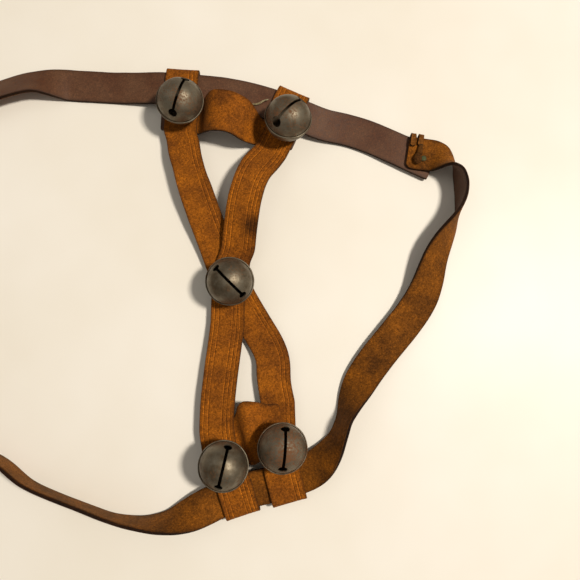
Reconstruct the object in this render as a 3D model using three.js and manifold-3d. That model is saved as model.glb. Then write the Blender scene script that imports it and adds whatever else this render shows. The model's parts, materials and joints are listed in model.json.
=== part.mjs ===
// Sleigh bells: an old leather harness girth with two crossing straps and two short bridge
// straps, and five stamped steel bells. Each bell turns on a riveted shank and has a loose
// iron pellet inside. The whole thing lies flat, as it does when it is put down on a table.
//
// Millimetres, +Z up. Routes are measured from the point on the table under the middle bell,
// and the finished group is then centred on its own footprint.

import * as THREE from 'three';
import { mergeVertices } from 'three/addons/utils/BufferGeometryUtils.js';
import Module from 'manifold-3d';

const wasm = await Module();
wasm.setup();

// ---------------------------------------------------------------- driving dimensions

const STRAP_WIDTH = 27;
const UPPER_BRIDGE_WIDTH = 34;
const LOWER_BRIDGE_WIDTH = 38;
const GIRTH_THICKNESS = 3;
const STRAP_THICKNESS = 2.4;
const GAP = 0.7;
const FINE_GAP = 0.3;
const STACK_FOOT = 3.2;
const LONGEST_STEP = 9;

const BELL_RADIUS = 18;
const DOME_RADIUS = 17.7;
const STEEL = 0.9;
const RIM_RADIUS = 18.8;
const RIM_HEIGHT = 1.4;
const BASE_DROP = 16.9;
const BELL_SIDES = 20;
const PIN_SIDES = 12;

const SLOT_WIDTH = 2.2;
const SLOT_ANGLE = 55;
const SLOT_HOLE_RADIUS = 3;
const PUNCH_SIDES = 10;
const PUNCH_DEPTH = 6;

const SHANK_RADIUS = 2;
const SHANK_HOLE_RADIUS = 2.3;
const SHANK_HOLE_DEPTH = 16;
const SHANK_HEAD_RADIUS = 4;
const SHANK_HEAD_DROP = 14.3;
const CLINCH_RADIUS = 3;
const CLINCH_HEIGHT = 0.5;
const ROVE_RADIUS = 4.8;
const ROVE_HEIGHT = 0.8;
const PELLET_RADIUS = 4;
const PELLET_ORBIT = 6.7;
const PELLET_DROP = 10.6;

const UP = new THREE.Vector3(0, 0, 1);
const rad = THREE.MathUtils.degToRad;

// Bell centres, how far and to which side each leans, and the way its slot runs.
const BELLS = [
  { name: '1', centre: [-40.8, 143.4, 29.8], lean: 7, towards: -30, slot: -109 },
  { name: '2', centre: [44.7, 129.1, 30.3], lean: 10, towards: 60, slot: -136 },
  { name: '3', centre: [0, 0, 26.8], lean: 9, towards: -65, slot: -45 },
  { name: '4', centre: [-2.9, -137.5, 29.8], lean: 8, towards: 45, slot: -103 },
  { name: '5', centre: [40.6, -124.7, 30], lean: 9, towards: 35, slot: -94 },
];
for (const bell of BELLS) {
  bell.centre = new THREE.Vector3(...bell.centre);
  bell.axis = new THREE.Vector3(
    Math.sin(rad(bell.lean)) * Math.cos(rad(bell.towards)),
    Math.sin(rad(bell.lean)) * Math.sin(rad(bell.towards)),
    Math.cos(rad(bell.lean)),
  );
}
const [BELL_1, BELL_2, BELL_3, BELL_4, BELL_5] = BELLS;

// ---------------------------------------------------------------- finishes

const FINISHES = {
  grain: { color: 0x3d241a, roughness: 0.6, metalness: 0 },
  suede: { color: 0x9c5a1c, roughness: 0.9, metalness: 0 },
  steel: { color: 0x5b524a, roughness: 0.45, metalness: 0.8 },
  iron: { color: 0x3a3634, roughness: 0.6, metalness: 0.8 },
  copper: { color: 0x5f7a5e, roughness: 0.7, metalness: 0.5 },
  lace: { color: 0x5a3418, roughness: 0.8, metalness: 0 },
};

const sleighBells = new THREE.Group();

function piece(name, geometry, finish, parent = sleighBells) {
  const mesh = new THREE.Mesh(geometry, new THREE.MeshStandardMaterial(FINISHES[finish]));
  mesh.name = name;
  parent.add(mesh);
  return mesh;
}

// ---------------------------------------------------------------- solids, cuts and turning

function toSolid(geometry) {
  const bare = geometry.clone();
  bare.deleteAttribute('normal');
  bare.deleteAttribute('uv');
  const welded = mergeVertices(bare, 1e-4);
  const corners = welded.index.array;
  const kept = [];
  for (let i = 0; i < corners.length; i += 3) {
    const [a, b, c] = corners.slice(i, i + 3);
    if (a !== b && b !== c && c !== a) kept.push(a, b, c);
  }
  return new wasm.Manifold(new wasm.Mesh({
    numProp: 3,
    vertProperties: new Float32Array(welded.attributes.position.array),
    triVerts: new Uint32Array(kept),
  }));
}

function toGeometry(solid) {
  const mesh = solid.getMesh();
  const geometry = new THREE.BufferGeometry();
  geometry.setAttribute('position', new THREE.BufferAttribute(mesh.vertProperties, 3));
  geometry.setIndex(new THREE.BufferAttribute(mesh.triVerts, 1));
  return geometry;
}

function cut(geometry, tools) {
  const whole = tools.reduce((left, tool) => left.subtract(toSolid(tool)), toSolid(geometry));
  return toGeometry(whole);
}

// Turns a closed profile of [radius, height] points about +Z.
function turned(profile, sides) {
  const points = profile.map(([radius, height]) => new THREE.Vector2(radius, height));
  return new THREE.LatheGeometry(points, sides).rotateX(Math.PI / 2);
}

// Points on a circle about the origin, from one angle above the horizontal to another.
function arc(radius, from, to, steps) {
  return Array.from({ length: steps + 1 }, (_, i) => {
    const angle = rad(from + ((to - from) * i) / steps);
    return [Math.max(0, radius * Math.cos(angle)), radius * Math.sin(angle)];
  });
}

// ---------------------------------------------------------------- straps

// A station is a place on a strap's middle line, and the direction from its left edge to its
// right edge there.
function station(x, y, z, azimuth, tilt = 0, wide = 1) {
  const across = new THREE.Vector3(
    Math.cos(rad(azimuth)) * Math.cos(rad(tilt)),
    Math.sin(rad(azimuth)) * Math.cos(rad(tilt)),
    Math.sin(rad(tilt)),
  );
  return { at: new THREE.Vector3(x, y, z), across, wide };
}

// A stretch that stays straight has a station near each of its ends, and one in the middle.
const EASE = 2.5;
function straight([from, to]) {
  const ease = EASE * Math.sign(to - from);
  return [from, from + ease, (from + to) / 2, to - ease, to];
}

// Stations that hold a strap flat under a bell, as the given layer of its stack, counted from
// the table. The reaches say how far from the shank it starts and stops being flat.
function pinned(bell, layer, azimuth, reaches, shift = 0, wide = 1) {
  const height = STACK_FOOT + STRAP_THICKNESS / 2 + layer * (STRAP_THICKNESS + GAP);
  const { across } = station(0, 0, 0, azimuth);
  const along = new THREE.Vector3().crossVectors(across, UP);
  const hole = bell.centre.clone()
    .addScaledVector(bell.axis, (height - bell.centre.z) / bell.axis.z)
    .addScaledVector(across, shift);
  return straight(reaches).map((reach) => ({
    at: hole.clone().addScaledVector(along, reach),
    across,
    wide,
  }));
}

// The strap lies along the girth and turns back on itself round its edge, in half a circle.
const GIRTH_AT_LOOPS = 7.6;
const GIRTH_LIFT = GIRTH_AT_LOOPS - GIRTH_THICKNESS / 2;
const FOLD_RADIUS = (GIRTH_THICKNESS + STRAP_THICKNESS) / 2 + GAP;
const FOLD_REACH = STRAP_WIDTH / 2 - 0.5;
const NEAR_EDGE = 3 - STRAP_WIDTH / 2;
function folded(x, y, outward, azimuth, angles) {
  const [first, last] = [angles[0], angles[angles.length - 1]];
  const beside = (reach, angle) => station(
    x + reach * Math.cos(rad(outward)),
    y + reach * Math.sin(rad(outward)),
    GIRTH_AT_LOOPS + FOLD_RADIUS * Math.sin(rad(angle)),
    azimuth,
  );
  const turn = angles.map((angle) => beside(
    FOLD_REACH + FOLD_RADIUS * Math.cos(rad(angle)), angle,
  ));
  const flat = straight([NEAR_EDGE, FOLD_REACH]).slice(0, 4);
  return [
    ...flat.map((reach) => beside(reach, first)),
    ...turn,
    ...flat.reverse().map((reach) => beside(reach, last)),
  ];
}
const UP_AND_OVER = [-90, -45, 0, 45, 90];
const DOWN_AND_UNDER = [90, 45, 0, -45, -90];

// Bends a long thin box along the stations.
function bentStrap(stations, width, thickness) {
  const route = new THREE.CatmullRomCurve3(stations.map((s) => s.at), false, 'centripetal');
  const last = stations.length - 1;
  const rows = [];
  for (let i = 0; i < last; i += 1) {
    const [here, next] = [stations[i], stations[i + 1]];
    const length = here.at.distanceTo(next.at);
    const steps = Math.ceil(length / LONGEST_STEP);
    for (let step = 0; step <= steps; step += 1) {
      if (step === steps && i < last - 1) continue;
      const share = step / steps;
      const along = route.getTangent((i + share) / last);
      const across = here.across.clone().lerp(next.across, share).normalize();
      rows.push({
        at: route.getPoint((i + share) / last),
        across,
        out: new THREE.Vector3().crossVectors(along, across).normalize(),
        wide: THREE.MathUtils.lerp(here.wide, next.wide, share),
      });
    }
  }
  const lengths = rows.length - 1;
  const geometry = new THREE.BoxGeometry(width, thickness, lengths, 1, 1, lengths);
  const place = geometry.attributes.position;
  for (let i = 0; i < place.count; i += 1) {
    const row = rows[Math.round(place.getZ(i) + lengths / 2)];
    const spot = row.at.clone()
      .addScaledVector(row.across, place.getX(i) * row.wide)
      .addScaledVector(row.out, place.getY(i));
    place.setXYZ(i, spot.x, spot.y, spot.z);
  }
  return geometry;
}

function shankHole(bell) {
  const radius = SHANK_HOLE_RADIUS;
  const hole = new THREE.CylinderGeometry(radius, radius, SHANK_HOLE_DEPTH, PIN_SIDES);
  const middleDrop = BASE_DROP + SHANK_HOLE_DEPTH / 2 - 3;
  hole.rotateX(Math.PI / 2).translate(0, 0, -middleDrop);
  hole.applyQuaternion(new THREE.Quaternion().setFromUnitVectors(UP, bell.axis));
  return hole.translate(...bell.centre);
}

// ---------------------------------------------------------------- the girth strap
// One long strap. It starts at the joint on the right, runs left behind the two upper bells,
// round the left end, back under the two lower bells, up the right side on its edge, and its
// other end lies on top of its beginning. Each line is x, y, the height of the strap's lowest
// edge, and how far the strap is rolled over: 0 is grain side up and 180 is flesh side up.
// It bears on the table with a flat stretch on the upper left, at the height REST.

const REST = -0.1;
const GIRTH_ROUTE = [
  [164, 99.5, 2.3, 0], [150, 105.8, 2.3, 0], [137, 112.2, 2.3, 0], [122, 119.5, 1.6, 0],
  [106, 126.5, 0.8, 0], [90, 131, 1.2, 0], [74, 133.8, 3.2, 0],
  [58, 139.2, GIRTH_LIFT, 0], [43.3, 145.2, GIRTH_LIFT, 0], [29, 150.4, GIRTH_LIFT, 0],
  [10, 156, GIRTH_LIFT, 0], [-10, 159.8, GIRTH_LIFT, 0], [-28, 162, GIRTH_LIFT, 0],
  [-44, 163.2, GIRTH_LIFT, 0], [-60, 164.4, GIRTH_LIFT, 0], [-78, 165.6, 3.4, 0],
  [-89, 166.4, 1.5, 0], [-98, 167, 0.3, 0], [-107, 167.6, REST, 0], [-119, 168.3, REST, 0],
  [-131, 169, REST, 0], [-140, 169.6, REST, 0], [-150, 170, 0.2, 14], [-166, 169.8, 0.2, 32],
  [-196, 161.4, 0.2, 34], [-228, 146, 0.2, 42],
  [-262, 122, 0.2, 58], [-292, 88, 0.2, 74], [-311, 46, 0.2, 82], [-316, 4, 0.2, 84],
  [-305, -38, 0.2, 84], [-281, -74, 0.2, 84], [-249, -100, 0.2, 84], [-213, -120, 0.2, 83],
  [-176, -136.6, 0.2, 83], [-154, -153.4, 0.2, 82], [-132, -163.2, 0.2, 82],
  [-110, -171.2, 0.2, 82], [-89, -178.6, 0.2, 84], [-66, -182.4, 0.6, 94],
  [-48, -181.6, 1.2, 110], [-34, -178, 2.6, 136], [-21, -173, 5, 164],
  [-10, -168, GIRTH_LIFT, 180], [0, -164.2, GIRTH_LIFT, 180],
  [12, -160.4, GIRTH_LIFT, 180], [27, -156.6, GIRTH_LIFT, 180],
  [42, -152.6, GIRTH_LIFT, 180], [55, -148.8, GIRTH_LIFT, 180],
  [66, -142.4, 4.6, 160], [76, -131, 1.6, 130],
  [83, -119, 0.6, 110], [88, -105, 0.4, 106], [93, -92, 0.4, 126], [100, -79, 1, 150],
  [109, -66, 2, 166], [120, -52, 3, 173], [131, -39, 3.6, 177], [144, -23, 3.2, 183],
  [153, -8, 2.2, 193], [158.5, 7, 1.4, 205], [163, 22, 0.8, 218], [170, 36, 0.4, 232],
  [177, 48, 0.2, 248], [181.5, 58, 0.2, 262], [184, 69, 0.2, 272], [184.5, 80, 0.2, 275],
  [182.5, 90, 0.4, 269], [178, 98, 1.4, 244], [172, 103, 4.2, 208], [164, 106, 5.65, 182],
  [154, 107.6, 5.65, 180], [143, 109.4, 5.65, 180],
];

function girthStations() {
  const rolls = GIRTH_ROUTE.map((line) => rad(line[3]));
  const places = GIRTH_ROUTE.map(([x, y, low], i) => {
    const rise = (STRAP_WIDTH / 2) * Math.abs(Math.sin(rolls[i]));
    const body = (GIRTH_THICKNESS / 2) * Math.abs(Math.cos(rolls[i]));
    return new THREE.Vector3(x, y, low + rise + body);
  });
  const route = new THREE.CatmullRomCurve3(places, false, 'centripetal');
  return places.map((at, i) => {
    const along = route.getTangent(i / (places.length - 1));
    const left = new THREE.Vector3(-along.y, along.x, 0).normalize();
    const across = left.multiplyScalar(Math.cos(rolls[i]))
      .addScaledVector(UP, Math.sin(rolls[i]));
    return { at, across, wide: 1 };
  });
}

// ---------------------------------------------------------------- the crossing straps
// Each one goes round the girth at both ends. The tail comes back underneath and is held by
// the same shank as the front.

const UNDER_ROUTE = [
  ...pinned(BELL_1, 0, -1, [16, -6], -4),
  ...folded(-43.8, 163.2, 86, -4, UP_AND_OVER),
  ...pinned(BELL_1, 2, -3, [-6, 19]),
  station(-41, 117, 12, -2),
  station(-39, 106, 14.2, -3),
  station(-34.6, 91, 15.4, -6),
  station(-29.5, 75, 14.6, 14),
  station(-22.5, 55, 11.4, 20),
  station(-15, 35, 7, 24),
  ...pinned(BELL_3, 0, 27, [-17, 17]),
  station(20, -35, 4.4, 30),
  station(28, -48, 5, 22),
  station(33, -61, 6.6, 6),
  station(33.2, -75, 7.2, -6),
  ...pinned(BELL_5, 1, 2, [-35, 4]),
  station(39, -134, 10.8, 12),
  ...folded(42, -152.6, -75, 15, DOWN_AND_UNDER),
  ...pinned(BELL_5, 0, 6, [6, -18]),
];

const OVER_ROUTE = [
  ...pinned(BELL_2, 0, -25, [10, -6], -3.5),
  ...folded(43.3, 145.2, 66, -24, UP_AND_OVER),
  ...pinned(BELL_2, 2, -26, [-6, 21], -3.5),
  station(25.5, 100.5, 15.6, -38),
  station(20, 92.5, 20.6, -37),
  station(15.6, 83, 23.8, -32),
  station(12.4, 73, 23.8, -24),
  station(9.6, 62, 21.6, -17),
  station(7.6, 50, 17.8, -13),
  station(5.8, 37, 13.4, -10),
  station(4.2, 26, 9.6, -8),
  ...pinned(BELL_3, 1, -7, [-17, 17]),
  station(-3.4, -32, 8, -6),
  station(-5, -46, 8.6, -6),
  station(-7.6, -68, 9.8, -4),
  station(-9.8, -90, 10.6, 2),
  ...pinned(BELL_4, 2, 10, [-26, 6], -1.4),
  ...folded(5.6, -162.2, -72, 18, DOWN_AND_UNDER),
  ...pinned(BELL_4, 0, 14, [6, -14]),
];

// ---------------------------------------------------------------- the bridge straps
// Short wide pieces that join the two crossing straps and bow up between the bells. They are
// trimmed narrower where they go under a bell.

const UPPER_BRIDGE_ROUTE = [
  ...pinned(BELL_1, 1, 88, [-8, 14.5], -8.4, 0.66),
  station(-25.2, 136, 11.5, 88, 0, 0.72),
  station(-22.2, 137.2, 18, 88, 0, 0.9),
  station(-17.6, 138, 23.8, 88),
  station(-9, 137.2, 26.6, 88),
  station(0, 135.4, 26, 84),
  station(8, 132.4, 21.6, 77),
  station(13.4, 129, 15, 71, 0, 0.84),
  station(17.6, 126.4, 9.8, 67, 0, 0.68),
  ...pinned(BELL_2, 1, 66, [-19, 8], -8.6, 0.64),
];

const LOWER_BRIDGE_ROUTE = [
  ...pinned(BELL_5, 2, -80, [-5, 8.5], -12, 0.82),
  station(24.6, -117.2, 12.6, -79, 0, 0.86),
  station(20.5, -118.6, 16.2, -77, 0, 0.94),
  station(16.5, -119.9, 17.8, -76),
  station(13.2, -121, 15.4, -75),
  station(11.2, -121.7, 11, -75, 0, 0.96),
  ...pinned(BELL_4, 1, -74, [-17.2, 8], -12.8, 0.93),
];

// ---------------------------------------------------------------- the joint in the girth

const JOINT_RIVET = new THREE.Vector3(155.4, 103.4, 0);
const RIVET_HEAD = 3;
const RIVET_STEM = 1.5;
const PEENED_RADIUS = 2.4;
const PEENED_HEIGHT = 0.5;
const PEENED_TOP_RADIUS = 1;
const RIVET_HOLE_DEPTH = 20;
const RIVET_FOOT = 0.2;
const RIVET_GRIP = [1.2, 9.2];
const RIVET_TOP = 10.1;
const LACE_WIDTH = 4.4;
const LACE_THICKNESS = 1.7;
// Where a lace runs: how far it is past the joint's upper edge, and its height.
const LACE_TOP = 9.9;
const LACE_FOOT = 1.15;
const LACE_ROUTE = [
  [-1, LACE_TOP], [1.8, 8.4], [2.6, 5.4], [1.8, 2.4], [-1, LACE_FOOT], [-5, LACE_FOOT],
  [-9, LACE_FOOT],
];
const TOGGLE_HALVES = [3.4, 4.6, 2.2];
const TOGGLE_PLACE = [150.2, 103, 11.2];

function jointRivetHole() {
  const radius = RIVET_STEM + FINE_GAP;
  const hole = new THREE.CylinderGeometry(radius, radius, RIVET_HOLE_DEPTH, PUNCH_SIDES);
  return hole.rotateX(Math.PI / 2).translate(JOINT_RIVET.x, JOINT_RIVET.y, RIVET_TOP / 2);
}

// A narrow lace hooked over the joint's upper edge, from its front end to its back end.
function lace(x, y, lean, front) {
  const route = [[-front, LACE_TOP], [-front / 2, LACE_TOP + 0.2], ...LACE_ROUTE];
  const stations = route.map(([reach, z]) => station(
    x + reach * Math.sin(rad(lean)), y + reach * Math.cos(rad(lean)), z, -lean,
  ));
  return bentStrap(stations, LACE_WIDTH, LACE_THICKNESS);
}

function makeGirth() {
  const strap = bentStrap(girthStations(), STRAP_WIDTH, GIRTH_THICKNESS);
  piece('girth_strap', cut(strap, [jointRivetHole()]), 'grain');
  piece('joint_lace_left', lace(148, 122.8, 10, 9), 'lace');
  piece('joint_lace_right', lace(154.2, 121.9, 12, 8), 'lace');
  const toggle = new THREE.SphereGeometry(1, 14, 8).scale(...TOGGLE_HALVES);
  piece('joint_toggle', toggle, 'lace').position.set(...TOGGLE_PLACE);
  const [low, high] = RIVET_GRIP;
  const rivet = turned([
    [0, RIVET_FOOT], [RIVET_HEAD, RIVET_FOOT], [RIVET_HEAD, low], [RIVET_STEM, low],
    [RIVET_STEM, high], [PEENED_RADIUS, high], [PEENED_RADIUS, high + PEENED_HEIGHT],
    [PEENED_TOP_RADIUS, RIVET_TOP], [0, RIVET_TOP],
  ], PIN_SIDES);
  piece('joint_rivet', rivet, 'copper').position.copy(JOINT_RIVET);
}

// ---------------------------------------------------------------- bells

const DOME_STEPS = 6;
const DOME_FOOT_ANGLE = 1;
function dome() {
  return turned([
    ...arc(DOME_RADIUS - STEEL, 90, DOME_FOOT_ANGLE, DOME_STEPS),
    ...arc(DOME_RADIUS, DOME_FOOT_ANGLE, 90, DOME_STEPS),
  ], BELL_SIDES);
}

const SLOT_LENGTH = 2 * (DOME_RADIUS - STEEL / 2) * Math.sin(rad(SLOT_ANGLE));
const SLOT_FLOOR = 8.4;
function slotTools() {
  const slot = new THREE.BoxGeometry(SLOT_LENGTH, SLOT_WIDTH, BELL_RADIUS);
  slot.translate(0, 0, SLOT_FLOOR + BELL_RADIUS / 2);
  const holes = [-SLOT_ANGLE, SLOT_ANGLE].map((angle) => {
    const radius = SLOT_HOLE_RADIUS;
    const hole = new THREE.CylinderGeometry(radius, radius, PUNCH_DEPTH, PUNCH_SIDES);
    return hole.rotateX(Math.PI / 2).translate(0, 0, DOME_RADIUS).rotateY(rad(angle));
  });
  return [slot, ...holes];
}

const SHELL_STEPS = 5;
const SHELL_TOP_ANGLE = -3;
const RIM_FOOT = -0.6;
function lowerShell() {
  const inner = BELL_RADIUS - STEEL;
  const outerBase = -Math.asin(BASE_DROP / BELL_RADIUS) * (180 / Math.PI);
  const innerBase = -Math.asin((BASE_DROP - STEEL) / inner) * (180 / Math.PI);
  return turned([
    [SHANK_HOLE_RADIUS, -BASE_DROP],
    ...arc(BELL_RADIUS, outerBase, SHELL_TOP_ANGLE, SHELL_STEPS),
    [RIM_RADIUS, RIM_FOOT], [RIM_RADIUS, RIM_HEIGHT], [BELL_RADIUS, RIM_HEIGHT],
    [BELL_RADIUS, 0], ...arc(inner, 0, innerBase, SHELL_STEPS),
    [SHANK_HOLE_RADIUS, -BASE_DROP + STEEL],
    [SHANK_HOLE_RADIUS, -BASE_DROP],
  ], BELL_SIDES);
}

function shank(footDrop) {
  const clinchTop = -footDrop - ROVE_HEIGHT - FINE_GAP;
  const headFoot = -BASE_DROP + STEEL + FINE_GAP;
  return turned([
    [0, clinchTop - CLINCH_HEIGHT], [CLINCH_RADIUS, clinchTop - CLINCH_HEIGHT],
    [CLINCH_RADIUS, clinchTop], [SHANK_RADIUS, clinchTop], [SHANK_RADIUS, headFoot],
    [SHANK_HEAD_RADIUS, headFoot], [SHANK_HEAD_RADIUS, -SHANK_HEAD_DROP],
    [0, -SHANK_HEAD_DROP],
  ], PIN_SIDES);
}

function rove(footDrop) {
  return turned([
    [SHANK_HOLE_RADIUS, -footDrop - ROVE_HEIGHT], [ROVE_RADIUS, -footDrop - ROVE_HEIGHT],
    [ROVE_RADIUS, -footDrop], [SHANK_HOLE_RADIUS, -footDrop],
    [SHANK_HOLE_RADIUS, -footDrop - ROVE_HEIGHT],
  ], PIN_SIDES);
}

function makeBell(bell) {
  const group = new THREE.Group();
  group.position.copy(bell.centre);
  group.quaternion.setFromUnitVectors(UP, bell.axis);
  sleighBells.add(group);
  const lean = rad(bell.lean);
  const tilted = ROVE_RADIUS * Math.sin(lean) + FINE_GAP;
  const footDrop = (bell.centre.z - STACK_FOOT + tilted) / Math.cos(lean);
  const upper = piece(`bell_${bell.name}_dome`, cut(dome(), slotTools()), 'steel', group);
  upper.rotation.z = rad(bell.slot);
  piece(`bell_${bell.name}_lower_shell`, lowerShell(), 'steel', group);
  piece(`bell_${bell.name}_shank`, shank(footDrop), 'iron', group);
  piece(`bell_${bell.name}_rove`, rove(footDrop), 'iron', group);
  const ball = new THREE.IcosahedronGeometry(PELLET_RADIUS, 1);
  const pellet = piece(`bell_${bell.name}_pellet`, ball, 'iron', group);
  pellet.position.set(
    PELLET_ORBIT * Math.cos(rad(bell.towards)),
    PELLET_ORBIT * Math.sin(rad(bell.towards)),
    -PELLET_DROP,
  );
}

// ---------------------------------------------------------------- put together

function leather(name, stations, width, bells) {
  const strap = bentStrap(stations, width, STRAP_THICKNESS);
  piece(name, cut(strap, bells.map(shankHole)), 'suede');
}

makeGirth();
leather('crossing_strap_under', UNDER_ROUTE, STRAP_WIDTH, [BELL_1, BELL_3, BELL_5]);
leather('crossing_strap_over', OVER_ROUTE, STRAP_WIDTH, [BELL_2, BELL_3, BELL_4]);
leather('bridge_strap_upper', UPPER_BRIDGE_ROUTE, UPPER_BRIDGE_WIDTH, [BELL_1, BELL_2]);
leather('bridge_strap_lower', LOWER_BRIDGE_ROUTE, LOWER_BRIDGE_WIDTH, [BELL_4, BELL_5]);
BELLS.forEach(makeBell);

// The origin is the middle of the footprint, on the table.
sleighBells.updateMatrixWorld(true);
const extent = new THREE.Box3().setFromObject(sleighBells, true);
const middle = extent.getCenter(new THREE.Vector3());
sleighBells.position.set(-middle.x, -middle.y, -extent.min.z);

export default sleighBells;
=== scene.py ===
import json
import math

import bmesh
import bpy
from mathutils import Matrix, Vector, noise


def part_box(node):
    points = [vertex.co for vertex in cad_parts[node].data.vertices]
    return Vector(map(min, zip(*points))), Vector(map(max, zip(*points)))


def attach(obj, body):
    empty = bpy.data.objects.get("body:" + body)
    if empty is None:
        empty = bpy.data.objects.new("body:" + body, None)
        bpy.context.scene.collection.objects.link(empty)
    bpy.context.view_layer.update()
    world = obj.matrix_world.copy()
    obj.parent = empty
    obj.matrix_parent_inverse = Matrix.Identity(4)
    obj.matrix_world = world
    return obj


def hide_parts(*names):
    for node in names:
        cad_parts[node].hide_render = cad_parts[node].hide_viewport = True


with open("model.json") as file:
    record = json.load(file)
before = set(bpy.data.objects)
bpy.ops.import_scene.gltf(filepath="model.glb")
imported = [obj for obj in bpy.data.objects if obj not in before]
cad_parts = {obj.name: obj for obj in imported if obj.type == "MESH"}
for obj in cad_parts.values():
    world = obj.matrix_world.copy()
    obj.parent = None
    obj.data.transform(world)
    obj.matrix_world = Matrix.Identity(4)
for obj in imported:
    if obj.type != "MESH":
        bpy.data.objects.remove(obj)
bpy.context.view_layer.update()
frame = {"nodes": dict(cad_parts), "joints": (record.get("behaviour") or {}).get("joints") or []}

# ---------------------------------------------------------------- camera
# It looks down on the harness from a little below the middle bell, as someone does who leans
# over the table. The left end of the girth runs out of its view.
CAMERA_FROM_MIDDLE_BELL = Vector((0.0462, -0.0564, 0.4418))
CAMERA_LEAN = math.radians(6.41)
turning = {joint["name"]: joint for joint in frame["joints"]}
middle = Vector(turning["bell_3_spin"]["pos_m"])
camera_data = bpy.data.cameras.new("camera")
camera_data.sensor_width = 36
camera_data.lens = 36
camera = bpy.data.objects.new("camera", camera_data)
camera.location = middle + CAMERA_FROM_MIDDLE_BELL
camera.rotation_euler = (CAMERA_LEAN, 0, 0)
bpy.context.scene.collection.objects.link(camera)
bpy.context.scene.camera = camera

# ---------------------------------------------------------------- table and light
# A plain cream table top under one soft lamp on the right, with a weak fill from the other side
# and a dim room.
TABLE_HALF = 3.0
TABLE_LIGHT = (0.83, 0.78, 0.69)
TABLE_DARK = (0.78, 0.72, 0.61)
ROOM_COLOUR = (1.0, 0.96, 0.9, 1)
ROOM_STRENGTH = 0.24


def add(tree, kind, settings=None, sockets=None):
    """Adds a shader node. A socket takes a number or colour, or another node's output."""
    made = tree.nodes.new("ShaderNode" + kind)
    for name, value in (settings or {}).items():
        setattr(made, name, value)
    for name, value in (sockets or {}).items():
        if isinstance(value, bpy.types.NodeSocket):
            tree.links.new(value, made.inputs[name])
        else:
            made.inputs[name].default_value = value
    return made


def new_material(name):
    """An empty material with its shader, and where a pattern on it is read: in the frame."""
    material = bpy.data.materials.new(name)
    material.use_nodes = True
    tree = material.node_tree
    shader = tree.nodes["Principled BSDF"]
    place = add(tree, "TexCoord").outputs["Object"]
    return material, tree, shader, place


def clouds(tree, place, scale, detail=3.0, rough=0.6):
    """Soft patches, about 1/scale metres across."""
    sockets = {"Vector": place, "Scale": scale, "Detail": detail, "Roughness": rough}
    return add(tree, "TexNoise", sockets=sockets).outputs["Fac"]


def steps(tree, value, *stops):
    """Turns a value from 0 to 1 into greys or colours by stops of (place, colour)."""
    ramp = add(tree, "ValToRGB", sockets={"Fac": value})
    band = ramp.color_ramp
    while len(band.elements) < len(stops):
        band.elements.new(0.5)
    for element, (at, _) in zip(band.elements, stops):
        element.position = at
    for element, (_, colour) in zip(band.elements, stops):
        grey = isinstance(colour, (int, float))
        element.color = (colour, colour, colour, 1) if grey else (*colour, 1)
    return ramp.outputs["Color"]


def to_object(name, bm, *materials):
    """A finished bmesh as an object in the scene, smooth shaded."""
    mesh = bpy.data.meshes.new(name)
    bm.to_mesh(mesh)
    bm.free()
    for material in materials:
        mesh.materials.append(material)
    mesh.shade_smooth()
    made = bpy.data.objects.new(name, mesh)
    bpy.context.scene.collection.objects.link(made)
    return made


table_material, tree, shader, place = new_material("table_top")
faint = steps(tree, clouds(tree, place, 6), (0.3, TABLE_DARK), (0.7, TABLE_LIGHT))
tree.links.new(faint, shader.inputs["Base Color"])
shader.inputs["Roughness"].default_value = 0.42
shader.inputs["Specular IOR Level"].default_value = 0.3
bm = bmesh.new()
bmesh.ops.create_grid(bm, x_segments=2, y_segments=2, size=TABLE_HALF)
table = to_object("table", bm, table_material)


def lamp(name, offset, power, size, colour):
    """A square lamp that stands off from the middle bell and shines on it."""
    data = bpy.data.lights.new(name, "AREA")
    data.energy = power
    data.size = size
    data.color = colour
    made = bpy.data.objects.new(name, data)
    made.location = middle + Vector(offset)
    made.rotation_euler = (-Vector(offset)).to_track_quat("-Z", "Y").to_euler()
    bpy.context.scene.collection.objects.link(made)


lamp("lamp_right", (1.4, 0.15, 2.5), power=84, size=0.34, colour=(1.0, 0.94, 0.86))
lamp("lamp_fill", (-0.9, 0.5, 1.6), power=3, size=1.4, colour=(1.0, 0.97, 0.93))
world = bpy.data.worlds.new("room")
bpy.context.scene.world = world
world.use_nodes = True
world.node_tree.nodes["Background"].inputs["Color"].default_value = ROOM_COLOUR
world.node_tree.nodes["Background"].inputs["Strength"].default_value = ROOM_STRENGTH
bpy.context.scene.view_settings.view_transform = "Standard"

# ---------------------------------------------------------------- girth strap
# One long strap of harness leather, dark and glazed on its grain side and napped on its flesh
# side. It is cut by hand, so its edges wander a little, and painted shade darkens them.
MM = 0.001
GIRTH_THICKNESS = 3 * MM
GIRTH_CORNERS = (0.8 * MM, 4.5 * MM)
WELD = 0.001 * MM
SAME_LENGTH = 0.005 * MM
LONGEST_GAP = 12 * MM
RUNGS_TRIED = 40


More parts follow.
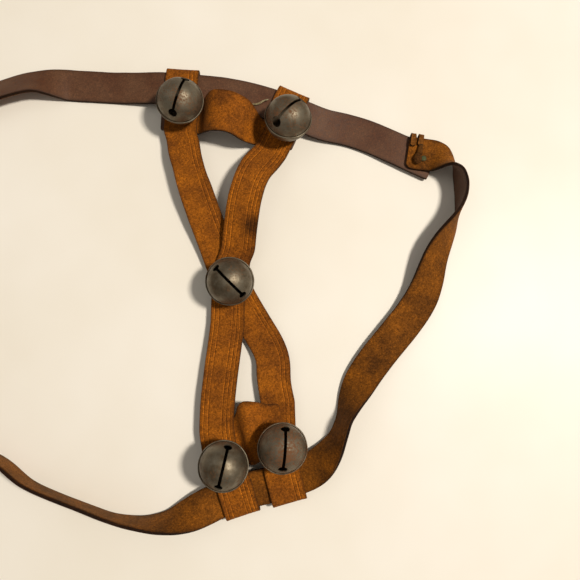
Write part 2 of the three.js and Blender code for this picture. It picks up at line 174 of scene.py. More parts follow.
def ring_of_rungs(bm, thickness):
    """The short edges across a strap's narrow sides, in order round its whole rim. Each is
    given as its middle and the way that it points."""
    mates = {}
    for edge in bm.edges:
        if abs(edge.calc_length() - thickness) < SAME_LENGTH:
            first, second = edge.verts
            mates.setdefault(first, []).append(second)
            mates.setdefault(second, []).append(first)
    near = {vert: {edge.other_vert(vert) for edge in vert.link_edges} for vert in bm.verts}

    def onward(top, foot):
        return [
            (next_top, next_foot)
            for next_top in near[top]
            for next_foot in mates.get(next_top, [])
            if next_top is not foot and next_foot in near[foot]
            and (next_foot in near[top] or next_top in near[foot])
        ]

    def middle_of(top, foot):
        return (top.co + foot.co) / 2, (top.co - foot.co).normalized()

    longest = []
    for top in sorted(mates, key=lambda vert: vert.index)[:RUNGS_TRIED]:
        first = last = (top, mates[top][0])
        ring = [middle_of(*first)]
        tried = {top}
        while True:
            beside = onward(*last)
            found = [rung for rung in beside if rung[0] not in tried]
            if not found and first in beside:
                # The walk is back at its start. A short ring only went round a hole.
                if len(ring) * 3 > len(mates):
                    return ring
                break
            if not found:
                # A shank's hole has cut one rung away, so the walk steps over it.
                untried = [(one, other) for one in mates for other in mates[one]
                           if one not in tried and other not in tried]
                found = sorted(untried, key=lambda rung: (rung[0].co - last[0].co).length
                               + (rung[1].co - last[1].co).length)
                if not found or (found[0][0].co - last[0].co).length > LONGEST_GAP:
                    break
                pair = (middle_of(*last), middle_of(*found[0]))
                ring.append(tuple((one + other) / 2 for one, other in zip(*pair)))
            last = found[0]
            ring.append(middle_of(*last))
            tried.add(last[0])
        longest = max(longest, ring, key=len)
    return longest


def strap_rows(node, thickness, starts, face_at):
    """The strap's rows as (left edge, right edge, up): from the end that lies furthest along
    starts, with its face up at the row that is face_at of the way along."""
    bm = bmesh.new()
    bm.from_mesh(frame["nodes"][node].data)
    bmesh.ops.remove_doubles(bm, verts=bm.verts, dist=WELD)
    ring = ring_of_rungs(bm, thickness)
    bm.free()
    half = len(ring) // 2

    def paired(start):
        return [(ring[start + i], ring[start - 1 - i]) for i in range(half)]

    def narrowest(start):
        return min((one[0] - other[0]).length for one, other in paired(start))

    best = max(range(half), key=narrowest)
    rows = [(one[0], other[0], one[1]) for one, other in paired(best)]
    if (rows[0][0] - rows[-1][0]).dot(Vector(starts)) < 0:
        rows.reverse()
    if rows[round(face_at * (len(rows) - 1))][2].z < 0:
        rows = [(left, right, -up) for left, right, up in rows]
    along = rows[1][0] - rows[0][0]
    if (rows[0][0] - rows[0][1]).dot(rows[0][2].cross(along)) < 0:
        rows = [(right, left, up) for left, right, up in rows]
    return rows


# A strap's grid is finer beside its edges, its ends and its creases. Columns are shares of its
# width, and the rows added at an end are shares of the way to the next row.
EDGE_COLUMNS = [0, 0.018, 0.06, 0.2, 0.35, 0.5, 0.65, 0.8, 0.94, 0.982, 1]
END_ROWS = (0.05, 0.16, 0.35, 0.6)
CREASE_HALF = 0.022
CREASE_DEPTH = 0.22 * MM
CORNER = 1.5 * MM
FACE_WAVES_PER_M = 45
EDGE_WAVES_PER_M = 110
LEVEL_CUP = 0.3


def with_end_rows(rows):
    """Adds rows close to both ends, where the corners are trimmed round."""
    first, last = [
        [tuple(a.lerp(b, share) for a, b in zip(end, after)) for share in END_ROWS]
        for end, after in ((rows[0], rows[1]), (rows[-1], rows[-2]))
    ]
    return [rows[0], *first, *rows[1:-1], *reversed(last), rows[-1]]


def lengths_along(rows):
    """How far along the strap's middle line each row lies."""
    lengths = [0.0]
    for before, after in zip(rows, rows[1:]):
        step = (after[0] + after[1] - before[0] - before[1]).length / 2
        lengths.append(lengths[-1] + step)
    return lengths


def strap_piece(name, rows, thickness, materials, creases=(), corners=(CORNER, CORNER),
                wander=0.3 * MM, wave=0.2 * MM, cup=0.2 * MM, seed=0.0):
    """A strap with rounded edges along the rows. Creases are shares of its width from the left,
    and corners is how far the corners of its first and last end are trimmed round."""
    rows = with_end_rows(rows)
    lengths = lengths_along(rows)
    beside = [crease + step for crease in creases for step in (-CREASE_HALF, 0, CREASE_HALF)]
    columns = sorted({*EDGE_COLUMNS, *beside})
    bm = bmesh.new()
    bmesh.ops.create_grid(bm, x_segments=len(columns) - 1, y_segments=len(rows) - 1, size=0.5)
    reach = max(vert.co.x for vert in bm.verts)
    cells = {}
    for vert in bm.verts:
        column = round((vert.co.x / reach + 1) / 2 * (len(columns) - 1))
        row = round((vert.co.y / reach + 1) / 2 * (len(rows) - 1))
        cells[vert] = (columns[column], lengths[row], rows[row])
    uv = bm.loops.layers.uv.new("UVMap")
    for face in bm.faces:
        for loop in face.loops:
            loop[uv].uv = cells[loop.vert][:2]
    for vert, (share, length, (left, right, up)) in cells.items():
        side = (right - left).normalized()
        beyond = 2 * share - 1
        on_face = Vector((length * FACE_WAVES_PER_M, seed, beyond * 0.5))
        lift = cup * (beyond * beyond - LEVEL_CUP) + wave * noise.noise(on_face)
        if share in creases:
            lift -= CREASE_DEPTH
        # Each edge wanders in its own way, so it reads the noise in its own place.
        on_edge = Vector((length * EDGE_WAVES_PER_M, seed + 7 * beyond, 3))
        stray = wander * noise.noise(on_edge) * beyond
        for corner, to_end in zip(corners, (length, lengths[-1] - length)):
            to_arc = max(0.0, corner - to_end)
            stray -= (corner - math.sqrt(corner * corner - to_arc * to_arc)) * beyond
        vert.co = left.lerp(right, share) + side * stray + up * lift
    bmesh.ops.recalc_face_normals(bm, faces=bm.faces)
    bm.faces.ensure_lookup_table()
    first = bm.faces[0]
    up = next(row[2] for vert, (_, _, row) in cells.items() if vert in first.verts)
    if first.normal.dot(up) < 0:
        bmesh.ops.reverse_faces(bm, faces=bm.faces)
    made = to_object(name, bm, *materials)
    wall = made.modifiers.new("wall", "SOLIDIFY")
    wall.thickness = thickness
    wall.offset = 0
    wall.material_offset = 1
    wall.material_offset_rim = 2
    soft = made.modifiers.new("soft", "SUBSURF")
    soft.levels = soft.render_levels = 2
    return made


def mixed(tree, share, first, second, how="MIX"):
    """Mixes two colours, or applies the second to the first."""
    made = add(tree, "MixRGB", {"blend_type": how}, {"Fac": share})
    for name, value in (("Color1", first), ("Color2", second)):
        if isinstance(value, bpy.types.NodeSocket):
            tree.links.new(value, made.inputs[name])
        else:
            made.inputs[name].default_value = (*value, 1)
    return made.outputs["Color"]


def worked_out(tree, sum_kind, *values):
    """A sum on numbers and other nodes' outputs."""
    return add(tree, "Math", {"operation": sum_kind}, dict(enumerate(values))).outputs[0]


def across_strap(tree):
    """The share of the strap's width from its left edge."""
    flat = add(tree, "UVMap", {"uv_map": "UVMap"}).outputs["UV"]
    return add(tree, "SeparateXYZ", sockets={"Vector": flat}).outputs["X"]


def relief(tree, shader, *layers):
    """Bumps the surface by layers of (height, strength, depth in metres)."""
    normal = None
    for height, strength, depth in layers:
        bump = add(tree, "Bump",
                   sockets={"Height": height, "Strength": strength, "Distance": depth})
        if normal:
            tree.links.new(normal, bump.inputs["Normal"])
        normal = bump.outputs["Normal"]
    tree.links.new(normal, shader.inputs["Normal"])


def suede_material(name, light, dark, creases=(), stain=None, seed=0.0):
    """The napped flesh side: fibrous and matt, with painted shade along the edges and in the
    creases, and a painted highlight beside each crease.
    """
    material, tree, shader, place = new_material(name)
    shifted = add(tree, "Mapping", sockets={"Vector": place, "Location": (seed, 0, 0)})
    place = shifted.outputs["Vector"]
    patches = clouds(tree, place, 55, 4)
    colour = mixed(tree, steps(tree, patches, (0.3, 0), (0.7, 1)), dark, light)
    fibres = clouds(tree, place, 620, 4, 0.8)
    fibre_shades = steps(tree, fibres, (0.34, 0.45), (0.5, 0.92), (0.66, 1.45))
    colour = mixed(tree, 1.0, colour, fibre_shades, "MULTIPLY")
    # Dark specks in the nap, and bright flecks that are painted highlights where the nap catches
    # the light.
    nap_specks_and_highlights = clouds(tree, place, 1500, 2)
    speck_and_highlight_shades = steps(tree, nap_specks_and_highlights, (0.35, 0.6), (0.6, 1.0), (0.72, 1.9))
    colour = mixed(tree, 0.8, colour, speck_and_highlight_shades, "MULTIPLY")
    across = across_strap(tree)
    # Painted shade along both edges of the face, with a ragged line.
    ragged = worked_out(tree, "MULTIPLY_ADD", clouds(tree, place, 300, 3), 0.05, -0.025)
    share = worked_out(tree, "ADD", across, ragged)
    edge_shade = steps(tree, share, (0.0, 0.25), (0.05, 0.8), (0.1, 1.0), (0.9, 1.0), (0.95, 0.8),
                 (1.0, 0.25))
    colour = mixed(tree, 0.8, colour, edge_shade, "MULTIPLY")
    # Painted shade in a dark line along each crease, with a painted highlight just beside it,
    # fading out in patches.
    if creases:
        crease_light_stops = [(0.0, 1.0)]
        for crease in creases:
            crease_light_stops += [(crease - 0.035, 1.0), (crease - 0.008, 0.32), (crease + 0.014, 1.9),
                      (crease + 0.036, 1.0)]
        painted_crease_light = steps(tree, across, *crease_light_stops)
        crease_light_fade = steps(tree, clouds(tree, place, 60, 3), (0.3, 0.3), (0.55, 1.0))
        colour = mixed(tree, crease_light_fade, colour, mixed(tree, 1.0, colour, painted_crease_light, "MULTIPLY"))
    if stain:
        spot, size = stain
        gap = add(tree, "VectorMath", {"operation": "DISTANCE"}, {0: place, 1: spot})
        gap = worked_out(tree, "DIVIDE", gap.outputs["Value"], size)
        colour = mixed(tree, 1.0, colour, steps(tree, gap, (0.3, 0.3), (1.0, 1.0)), "MULTIPLY")
    tree.links.new(colour, shader.inputs["Base Color"])
    tree.links.new(steps(tree, fibres, (0.3, 0.95), (0.7, 0.72)), shader.inputs["Roughness"])
    shader.inputs["Specular IOR Level"].default_value = 0.12
    shader.inputs["Sheen Weight"].default_value = 0.06
    shader.inputs["Sheen Tint"].default_value = (1.0, 0.6, 0.25, 1)
    relief(tree, shader, (patches, 0.4, 0.8 * MM), (fibres, 0.6, 0.35 * MM),
           (nap_specks_and_highlights, 0.5, 0.12 * MM))
    return material


def grain_material(name, colour, sheen_colour):
    """The glazed grain side: dark, finely pored and crazed, with patches of painted greyish sheen.
    """
    material, tree, shader, place = new_material(name)
    patches = clouds(tree, place, 40, 5)
    # Painted sheen: patches of a lighter, greyer colour stand in for a dull reflection.
    base = mixed(tree, steps(tree, patches, (0.35, 0), (0.7, 1)), colour, sheen_colour)
    crackle = add(tree, "TexVoronoi", {"feature": "DISTANCE_TO_EDGE"},
                  {"Vector": place, "Scale": 650.0}).outputs["Distance"]
    pores = steps(tree, crackle, (0.0, 0.45), (0.12, 1.0))
    base = mixed(tree, 0.6, base, pores, "MULTIPLY")
    scuffs = clouds(tree, place, 500, 5, 0.8)
    scuff_shades = steps(tree, scuffs, (0.4, 0.6), (0.6, 1.2), (0.72, 2.4))
    base = mixed(tree, 0.5, base, scuff_shades, "MULTIPLY")
    # Painted shade along both edges of the face.
    edge_shade = steps(tree, across_strap(tree), (0.0, 0.35), (0.05, 0.8), (0.12, 1.0), (0.88, 1.0),
                 (0.95, 0.8), (1.0, 0.35))
    base = mixed(tree, 0.8, base, edge_shade, "MULTIPLY")
    tree.links.new(base, shader.inputs["Base Color"])
    tree.links.new(steps(tree, scuffs, (0.3, 0.45), (0.7, 0.7)), shader.inputs["Roughness"])
    shader.inputs["Specular IOR Level"].default_value = 0.25
    relief(tree, shader, (patches, 0.3, 0.8 * MM), (crackle, 0.35, 0.3 * MM),
           (scuffs, 0.35, 0.2 * MM))
    return material


# The rims of the straps are coloured near black: painted shade along their sides.
rim_shade_leather = suede_material("rim_painted_shade", (0.05, 0.017, 0.005), (0.018, 0.007, 0.003))
girth_grain = grain_material("girth_grain", (0.085, 0.029, 0.01), (0.125, 0.055, 0.024))
girth_flesh = suede_material("girth_flesh", (0.25, 0.078, 0.004), (0.085, 0.027, 0.002), seed=0.4)
girth_rows = strap_rows("girth_strap", GIRTH_THICKNESS, (0, 0, -1), 0.0)
girth = strap_piece("girth", girth_rows, GIRTH_THICKNESS, (girth_grain, girth_flesh, rim_shade_leather),
                    corners=GIRTH_CORNERS, seed=1.5)
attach(girth, "harness")
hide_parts("girth_strap")

# ---------------------------------------------------------------- crossing straps
# Two lighter straps with their flesh side out. Each is looped round the girth at both ends, and
# the tail comes back under it to the same shank. They cross under the middle bell.
STRAP_THICKNESS = 2.4 * MM
ORANGE = (0.34, 0.1, 0.004)
UMBER = (0.15, 0.042, 0.003)
UNDER_CREASES = (0.16, 0.28)
OVER_CREASES = (0.12, 0.23, 0.35, 0.75, 0.88)
OIL_SPOT_FROM_MIDDLE_BELL = Vector((17, 44, -8)) * MM
OIL_SPOT_SIZE = 13 * MM
strap_back = grain_material("strap_grain_side", (0.09, 0.03, 0.01), (0.13, 0.05, 0.018))
oil_spot = (middle + OIL_SPOT_FROM_MIDDLE_BELL, OIL_SPOT_SIZE)
under_suede = suede_material("under_suede", ORANGE, UMBER, UNDER_CREASES, seed=1.0)
over_suede = suede_material("over_suede", ORANGE, UMBER, OVER_CREASES, oil_spot)
for name, node, suede, creases, seed in (
    ("under_strap", "crossing_strap_under", under_suede, UNDER_CREASES, 4.0),
    ("over_strap", "crossing_strap_over", over_suede, OVER_CREASES, 9.0),
):
    rows = strap_rows(node, STRAP_THICKNESS, (0, 1, 0), 0.5)
    strap = strap_piece(name, rows, STRAP_THICKNESS, (suede, strap_back, rim_shade_leather), creases,
                        seed=seed)
    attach(strap, "harness")
    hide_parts(node)

# ---------------------------------------------------------------- bridge straps
# Two short wide scraps of the same leather that tie the crossing straps together between the
# bells. They are stiff and stand up in a bow, and their ends are pinched under the bells.
# How much wider the lower one is than its plain model, in mm, row by row from its right end.
LOWER_SPREADS = (4, 5, 5.5, 6.5, 8, 9, 10, 10.5, 8.5, 4, 1)
bridge_suede = suede_material("bridge_suede", (0.35, 0.1, 0.004), (0.14, 0.04, 0.003), seed=2.0)
for name, node, starts, spreads, seed in (
    ("upper_bridge", "bridge_strap_upper", (-1, 0, 0), (), 14.0),
    ("lower_bridge", "bridge_strap_lower", (1, 0, 0), LOWER_SPREADS, 17.0),
):
    rows = strap_rows(node, STRAP_THICKNESS, starts, 0.5)
    for i, spread in enumerate(spreads):
        left, right, up = rows[i]
        rows[i] = (left, right + (right - left).normalized() * spread * MM, up)
    bridge = strap_piece(name, rows, STRAP_THICKNESS, (bridge_suede, strap_back, rim_shade_leather),
                         wander=0.6 * MM, seed=seed)
    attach(bridge, "harness")
    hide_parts(node)

# ---------------------------------------------------------------- torn strand
# A pale strand of torn leather lies on the girth beside the second bell, where the edge has
# frayed, and its loose end curls up. Its route is (x, y, z, width) from that bell, in mm.
STRAND_THICKNESS = 0.5 * MM
STRAND_ROUTE = ((-33, 20.9, -20, 0.5), (-28, 20.1, -20.3, 1.5), (-24, 20.6, -20.3, 1.8),
                (-20, 23.4, -19.7, 1.3), (-15.8, 23.7, -18.2, 0.5))
pale_leather = suede_material("pale_leather", (0.4, 0.34, 0.2), (0.2, 0.15, 0.07), seed=5.0)
second_bell = Vector(turning["bell_2_spin"]["pos_m"])
places = [second_bell + Vector(point[:3]) * MM for point in STRAND_ROUTE]
rows = []
for i, point in enumerate(STRAND_ROUTE):
    along = places[min(i + 1, len(places) - 1)] - places[max(i - 1, 0)]
    side = along.cross(Vector((0, 0, 1))).normalized() * point[3] * MM / 2
    rows.append((places[i] - side, places[i] + side, side.cross(along).normalized()))
strand = strap_piece("torn_strand", rows, STRAND_THICKNESS, (pale_leather,) * 3,
                     corners=(0.1 * MM, 0.1 * MM), wander=0.1 * MM, wave=0.1 * MM, cup=0,
                     seed=31.0)
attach(strand, "harness")

# ---------------------------------------------------------------- shanks and roves
# Each bell is held by a soft iron shank, headed inside the bell, that goes through the straps
# and is clinched over a small round rove underneath.
BELL_NUMBERS = "12345"
SHANK_RADIUS = 2 * MM
HEAD_RADIUS = 4 * MM
HEAD_THICKNESS = 1.4 * MM
CLINCH_RADIUS = 3 * MM
CLINCH_GAP = 0.3 * MM
ROVE_RADIUS = 4.8 * MM
ROVE_BORE = 2.3 * MM
ROUND_OFF = 0.25 * MM
SMALL_STEPS = 32


def bell_place(number):
    """From a bell's own frame, with its middle at the origin and its top up, to the harness."""
    joint = turning[f"bell_{number}_spin"]
    lean = Vector((0, 0, 1)).rotation_difference(Vector(joint["axis"]))
    return Matrix.Translation(joint["pos_m"]) @ lean.to_matrix().to_4x4()


def reach_of(number, node):
    """How far a piece of the plain model reaches down and up along its bell's axis."""
    into_bell = bell_place(number).inverted()
    heights = [(into_bell @ vert.co).z for vert in frame["nodes"][node].data.vertices]
    return min(heights), max(heights)


def turned(profile, steps_round=SMALL_STEPS):
    """Turns a closed outline of (radius, height) round the axis into a solid."""
    bm = bmesh.new()
    verts = [bm.verts.new((radius, 0, height)) for radius, height in profile]
    pairs = zip(verts, verts[1:] + verts[:1])
    edges = [bm.edges.new(pair) for pair in pairs if pair[0].co.x + pair[1].co.x > WELD]
    bmesh.ops.spin(bm, geom=verts + edges, cent=(0, 0, 0), axis=(0, 0, 1), angle=2 * math.pi,
                   steps=steps_round, use_merge=True)
    bmesh.ops.remove_doubles(bm, verts=bm.verts, dist=WELD)
    bmesh.ops.recalc_face_normals(bm, faces=bm.faces)
    return bm


def rusty_iron(name, base, rust, amount):
    """Dull iron, browned all over and scabbed with rust."""
    material, tree, shader, place = new_material(name)
    scabs = clouds(tree, place, 320, 6, 0.7)
    mask = steps(tree, scabs, (0.62 - amount, 0), (0.72 - amount, 1))
    tree.links.new(mixed(tree, mask, base, rust), shader.inputs["Base Color"])
    tree.links.new(steps(tree, mask, (0, 0.5), (1, 0.9)), shader.inputs["Roughness"])
    tree.links.new(steps(tree, mask, (0, 0.85), (1, 0.1)), shader.inputs["Metallic"])
    relief(tree, shader, (scabs, 0.5, 0.25 * MM))
    return material


shank_iron = rusty_iron("shank_iron", (0.11, 0.095, 0.08), (0.14, 0.05, 0.02), 0.2)
for number in BELL_NUMBERS:
    low, high = reach_of(number, f"bell_{number}_shank")
    rove_low, rove_high = reach_of(number, f"bell_{number}_rove")
    head_foot = high - HEAD_THICKNESS
    clinch_top = rove_low - CLINCH_GAP
    bm = turned([
        (0, low), (CLINCH_RADIUS - 2 * ROUND_OFF, low), (CLINCH_RADIUS, clinch_top - ROUND_OFF / 2),
        (CLINCH_RADIUS - ROUND_OFF, clinch_top), (SHANK_RADIUS, clinch_top),
        (SHANK_RADIUS, head_foot), (HEAD_RADIUS, head_foot), (HEAD_RADIUS, head_foot + ROUND_OFF),
        (HEAD_RADIUS * 0.75, high - ROUND_OFF / 2), (HEAD_RADIUS * 0.4, high), (0, high),
    ])
    bm.transform(bell_place(number))
    shank = to_object(f"shank_{number}", bm, shank_iron)
    bm = turned([
        (ROVE_BORE, rove_low), (ROVE_RADIUS - ROUND_OFF, rove_low),
        (ROVE_RADIUS, rove_low + ROUND_OFF), (ROVE_RADIUS, rove_high - ROUND_OFF),
        (ROVE_RADIUS - ROUND_OFF, rove_high), (ROVE_BORE, rove_high),
    ])
    bm.transform(bell_place(number))
    rove = to_object(f"rove_{number}", bm, shank_iron)
    for made, node in ((shank, f"bell_{number}_shank"), (rove, f"bell_{number}_rove")):
        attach(made, "harness")
        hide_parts(node)

# ---------------------------------------------------------------- bells
# Each bell is pressed from sheet steel in two shells. The slotted dome sits in the lower shell,
# whose rim is crimped round its edge. The steel is browned, scratched and freckled with rust.
SHELL_RADIUS = 18 * MM
DOME_RADIUS = 17.7 * MM
WALL = 0.9 * MM
INNER_RADIUS = SHELL_RADIUS - WALL
BASE_DROP = 16.9 * MM
BELL_STEPS = 96
DOME_DENTS = 0.16 * MM
SHELL_DENTS = 0.12 * MM
LIP_WIDTH = 0.3 * MM
SHARP_ANGLE = math.radians(35)
LIP_ANGLE = math.radians(40)
# The crimped rim's outline as (radius, height) in mm, from the lower shell's outside up and in.
CRIMP = ((18.25, -0.85), (18.62, -0.55), (18.8, 0), (18.78, 0.6), (18.6, 1.1), (18.25, 1.36),
         (17.95, 1.3), (17.86, 0.9), (17.95, 0))
# The slot ends in a round hole on each side of the top, SLOT_ANGLE degrees down. The radius of
# the holes (mm), the way the slot runs (degrees) and the rust differ from bell to bell.
SLOT_WIDTH = 2.2 * MM
SLOT_FLOOR = 8.4 * MM
SLOT_ANGLE = 55
PUNCH_DEPTH = 6 * MM
SLOT_HOLES = {"1": 3.5, "2": 4.2, "3": 3, "4": 3.1, "5": 3.4}
SLOT_RUNS = {"1": -109, "2": -136, "3": -45, "4": -103, "5": -94}
RUST_AMOUNTS = {"1": 0.06, "2": 0.08, "3": 0.03, "4": 0.03, "5": 0.14}
STEEL_GREY = (0.19, 0.16, 0.112)
STEEL_BROWN = (0.088, 0.064, 0.037)
STEEL_RUST = (0.13, 0.052, 0.015)
STEEL_BRIGHT = (0.36, 0.31, 0.24)


def browned_steel(name, number):
    """Old bell steel. Brown patina in clouds, rust in freckles, and fine bright scratches."""
    material, tree, shader, place = new_material(name)
    shifted = add(tree, "Mapping", sockets={"Vector": place, "Location": (float(number), 0, 0)})
    place = shifted.outputs["Vector"]
    patina = clouds(tree, place, 90, 5, 0.65)
    base = mixed(tree, steps(tree, patina, (0.38, 0), (0.66, 1)), STEEL_GREY, STEEL_BROWN)
    freckles = clouds(tree, place, 700, 6, 0.75)
    spread = worked_out(tree, "MULTIPLY_ADD", clouds(tree, place, 45, 2), 0.45,
                        RUST_AMOUNTS[number] - 0.2)
    level = worked_out(tree, "ADD", freckles, spread)
    rust = steps(tree, level, (0.62, 0), (0.74, 1))
    base = mixed(tree, rust, base, STEEL_RUST)
    scratch_place = add(tree, "Mapping", sockets={
        "Vector": place, "Rotation": (0.3, 0.5, 0.7), "Scale": (60.0, 1500.0, 300.0)})
    scratches = clouds(tree, scratch_place.outputs["Vector"], 1.0, 3, 0.7)
    bright = steps(tree, scratches, (0.66, 0), (0.72, 0.35))
    base = mixed(tree, bright, base, STEEL_BRIGHT)
    tree.links.new(base, shader.inputs["Base Color"])
    rough = mixed(tree, rust, steps(tree, patina, (0.3, 0.42), (0.7, 0.58)), (0.85, 0.85, 0.85))
    tree.links.new(rough, shader.inputs["Roughness"])
    tree.links.new(steps(tree, rust, (0, 0.85), (1, 0.15)), shader.inputs["Metallic"])
    relief(tree, shader, (patina, 0.25, 0.4 * MM), (freckles, 0.4, 0.12 * MM),
           (scratches, 0.15, 0.05 * MM))
    return material


def arc(radius, start, end, count):
    """Points on a circle about the origin, from one angle above the level to another."""
    angles = [math.radians(start + (end - start) * i / count) for i in range(count + 1)]
    return [(max(0, radius * math.cos(angle)), radius * math.sin(angle)) for angle in angles]


def dented(bm, depth, seed):
    """Pushes the sheet in and out a little, as years of knocks do."""
    for vert in bm.verts:
        push = noise.noise(vert.co * 130 + Vector((seed, 0, 0)))
        push += 0.5 * noise.noise(vert.co * 320 + Vector((0, seed, 0)))
        vert.co += vert.co.normalized() * depth * push


def cut_away(target, cutters):
    """Cuts solids out of a piece, and makes the result its mesh."""
    for cutter in cutters:
        cut = target.modifiers.new("cut", "BOOLEAN")
        cut.object = cutter
        cut.solver = "EXACT"
    graph = bpy.context.evaluated_depsgraph_get()
    result = bpy.data.meshes.new_from_object(target.evaluated_get(graph))
    target.modifiers.clear()
    target.data = result
    for cutter in cutters:
        bpy.data.objects.remove(cutter)


def slot_cutters(hole_radius):
    """The punch for the slot, and the two for the round holes at its ends."""
    bm = bmesh.new()
    bmesh.ops.create_cube(bm, size=1)
    length = 2 * (DOME_RADIUS - WALL / 2) * math.sin(math.radians(SLOT_ANGLE))
    bmesh.ops.scale(bm, verts=bm.verts, vec=(length, SLOT_WIDTH, SHELL_RADIUS))
    bmesh.ops.translate(bm, verts=bm.verts, vec=(0, 0, SLOT_FLOOR + SHELL_RADIUS / 2))
    yield to_object("slot_punch", bm)
    for side in (-1, 1):
        bm = bmesh.new()
        bmesh.ops.create_cone(bm, cap_ends=True, segments=32, radius1=hole_radius,
                              radius2=hole_radius, depth=PUNCH_DEPTH)
        bmesh.ops.translate(bm, verts=bm.verts, vec=(0, 0, DOME_RADIUS))
        tip = Matrix.Rotation(math.radians(side * SLOT_ANGLE), 3, "Y")
        bmesh.ops.rotate(bm, verts=bm.verts, cent=(0, 0, 0), matrix=tip)
        yield to_object("hole_punch", bm)


outer_base = -math.degrees(math.asin(BASE_DROP / SHELL_RADIUS))
inner_base = -math.degrees(math.asin((BASE_DROP - WALL) / INNER_RADIUS))
for number in BELL_NUMBERS:
    steel = browned_steel(f"bell_steel_{number}", number)
    bm = turned([*arc(DOME_RADIUS - WALL, 90, 1, 28), *arc(DOME_RADIUS, 1, 90, 28)], BELL_STEPS)
    dented(bm, DOME_DENTS, 3.0 * int(number))
    dome = to_object(f"dome_{number}", bm, steel)
    cut_away(dome, list(slot_cutters(SLOT_HOLES[number] * MM)))
    spun = Matrix.Rotation(math.radians(SLOT_RUNS[number]), 4, "Z")
    dome.data.transform(bell_place(number) @ spun)
    dome.data.set_sharp_from_angle(angle=SHARP_ANGLE)
    lip = dome.modifiers.new("lip", "BEVEL")
    lip.width = LIP_WIDTH
    lip.segments = 2
    lip.limit_method = "ANGLE"
    lip.angle_limit = LIP_ANGLE
    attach(dome, f"bell_{number}")
    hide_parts(f"bell_{number}_dome")

    bm = turned([
        (ROVE_BORE, -BASE_DROP), *arc(SHELL_RADIUS, outer_base, -4, 20),
        *[(radius * MM, height * MM) for radius, height in CRIMP],
        *arc(INNER_RADIUS, 0, inner_base, 20), (ROVE_BORE, -BASE_DROP + WALL),
    ], BELL_STEPS)
    dented(bm, SHELL_DENTS, 5.0 * int(number))
    bm.transform(bell_place(number))
    shell = to_object(f"lower_shell_{number}", bm, steel)
    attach(shell, f"bell_{number}")
    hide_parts(f"bell_{number}_lower_shell")

# ---------------------------------------------------------------- pellets
# One loose iron pellet in each bell makes the sound. It is a rough forged slug, no true ball,
# and it lies in the bottom of the bell beside the head of the shank.
PELLET_RADIUS = 3.84 * MM
PELLET_DENTS = 0.25 * MM
pellet_iron = rusty_iron("pellet_iron", (0.12, 0.1, 0.085), (0.13, 0.05, 0.02), 0.1)
for number in BELL_NUMBERS:
    low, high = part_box(f"bell_{number}_pellet")
    bm = bmesh.new()
    bmesh.ops.create_icosphere(bm, subdivisions=4, radius=PELLET_RADIUS)
    dented(bm, PELLET_DENTS, 11.0 * int(number))
    bmesh.ops.translate(bm, verts=bm.verts, vec=(low + high) / 2)
    pellet = to_object(f"pellet_{number}", bm, pellet_iron)
    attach(pellet, f"pellet_{number}")
    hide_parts(f"bell_{number}_pellet")

# ---------------------------------------------------------------- the joint in the girth
# Where the girth's ends lap, two narrow laces are hooked over the edge, a thong is drawn through
# and knotted, and a small copper rivet, now green, goes through both layers.
LACE_THICKNESS = 1.7 * MM
lace_leather = suede_material("lace_leather", (0.27, 0.095, 0.01), (0.11, 0.036, 0.005), seed=3.0)
for side, seed in (("left", 21.0), ("right", 24.0)):
    rows = strap_rows(f"joint_lace_{side}", LACE_THICKNESS, (0, 0, 1), 0.0)
    lace = strap_piece(f"lace_{side}", rows, LACE_THICKNESS,
                       (lace_leather, lace_leather, rim_shade_leather), wander=0.2 * MM, seed=seed)
    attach(lace, "harness")
    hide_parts(f"joint_lace_{side}")

# The knotted end is a lump that narrows towards the laces.
TOGGLE_TAPER = 0.38
TOGGLE_LUMPS = 0.07
low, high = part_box("joint_toggle")
centre, half = (low + high) / 2, (high - low) / 2
bm = bmesh.new()
bmesh.ops.create_icosphere(bm, subdivisions=4, radius=1)
for vert in bm.verts:
    vert.co.x *= 1 - TOGGLE_TAPER * max(0.0, vert.co.y) ** 1.5
    vert.co *= 1 + TOGGLE_LUMPS * noise.noise(vert.co * 2.2)
bmesh.ops.scale(bm, verts=bm.verts, vec=half)
bmesh.ops.translate(bm, verts=bm.verts, vec=centre)
toggle = to_object("toggle", bm, lace_leather)
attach(toggle, "harness")
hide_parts("joint_toggle")

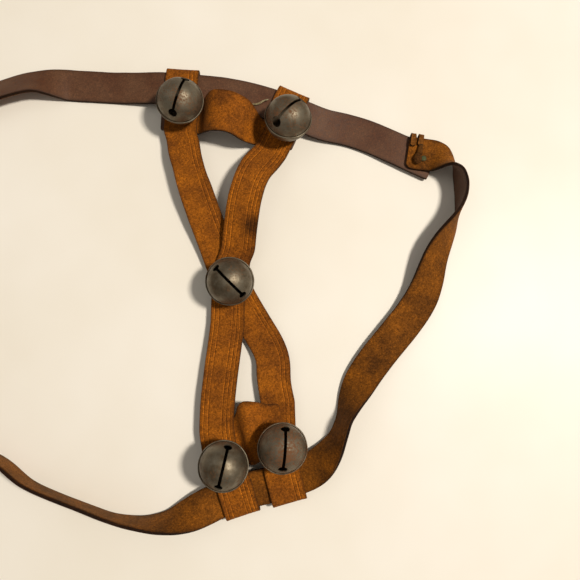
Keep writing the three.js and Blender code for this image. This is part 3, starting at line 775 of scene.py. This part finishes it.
# The thong itself runs from the knot up into the right lace, and is flatter than it is wide.
NECK_FOOT_RADIUS = 2 * MM
NECK_TOP_RADIUS = 1.5 * MM
NECK_FLATTENED = (1.15, 0.6, 1)
NECK_INTO_LACE = 2.5 * MM
NECK_UNDER_LACE = 0.6 * MM
lace_low, lace_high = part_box("joint_lace_right")
neck_from = Vector((centre.x + 0.4 * half.x, centre.y + 0.75 * half.y, centre.z))
neck_to = Vector(((lace_low.x + lace_high.x) / 2, lace_low.y + NECK_INTO_LACE,
                  lace_high.z - NECK_UNDER_LACE))
run = neck_to - neck_from
bm = bmesh.new()
bmesh.ops.create_cone(bm, cap_ends=True, segments=24, radius1=NECK_FOOT_RADIUS,
                      radius2=NECK_TOP_RADIUS, depth=run.length)
bmesh.ops.scale(bm, verts=bm.verts, vec=NECK_FLATTENED)
bmesh.ops.translate(bm, verts=bm.verts, vec=(0, 0, run.length / 2))
bm.transform(Matrix.Translation(neck_from) @ run.to_track_quat("Z", "Y").to_matrix().to_4x4())
neck = to_object("toggle_neck", bm, lace_leather)
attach(neck, "harness")

# The rivet has a flat head below and a smaller burr above.
RIVET_RADIUS = 1.5 * MM
RIVET_HEAD_RADIUS = 3 * MM
RIVET_BURR_RADIUS = 2.4 * MM
low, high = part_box("joint_rivet")
centre = (low + high) / 2
foot, top = low.z, high.z
burr_foot = top - 0.9 * MM
verdigris = rusty_iron("verdigris_copper", (0.1, 0.055, 0.02), (0.055, 0.068, 0.022), 0.2)
bm = turned([
    (0, foot), (RIVET_HEAD_RADIUS - 0.8 * MM, foot), (RIVET_HEAD_RADIUS, foot + 0.4 * MM),
    (RIVET_HEAD_RADIUS, foot + 0.9 * MM), (RIVET_RADIUS, foot + 1 * MM),
    (RIVET_RADIUS, burr_foot), (RIVET_BURR_RADIUS, burr_foot),
    (RIVET_BURR_RADIUS, top - 0.5 * MM), (RIVET_BURR_RADIUS - 1 * MM, top - 0.1 * MM), (0, top),
])
bmesh.ops.translate(bm, verts=bm.verts, vec=(centre.x, centre.y, 0))
rivet = to_object("rivet", bm, verdigris)
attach(rivet, "harness")
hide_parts("joint_rivet")
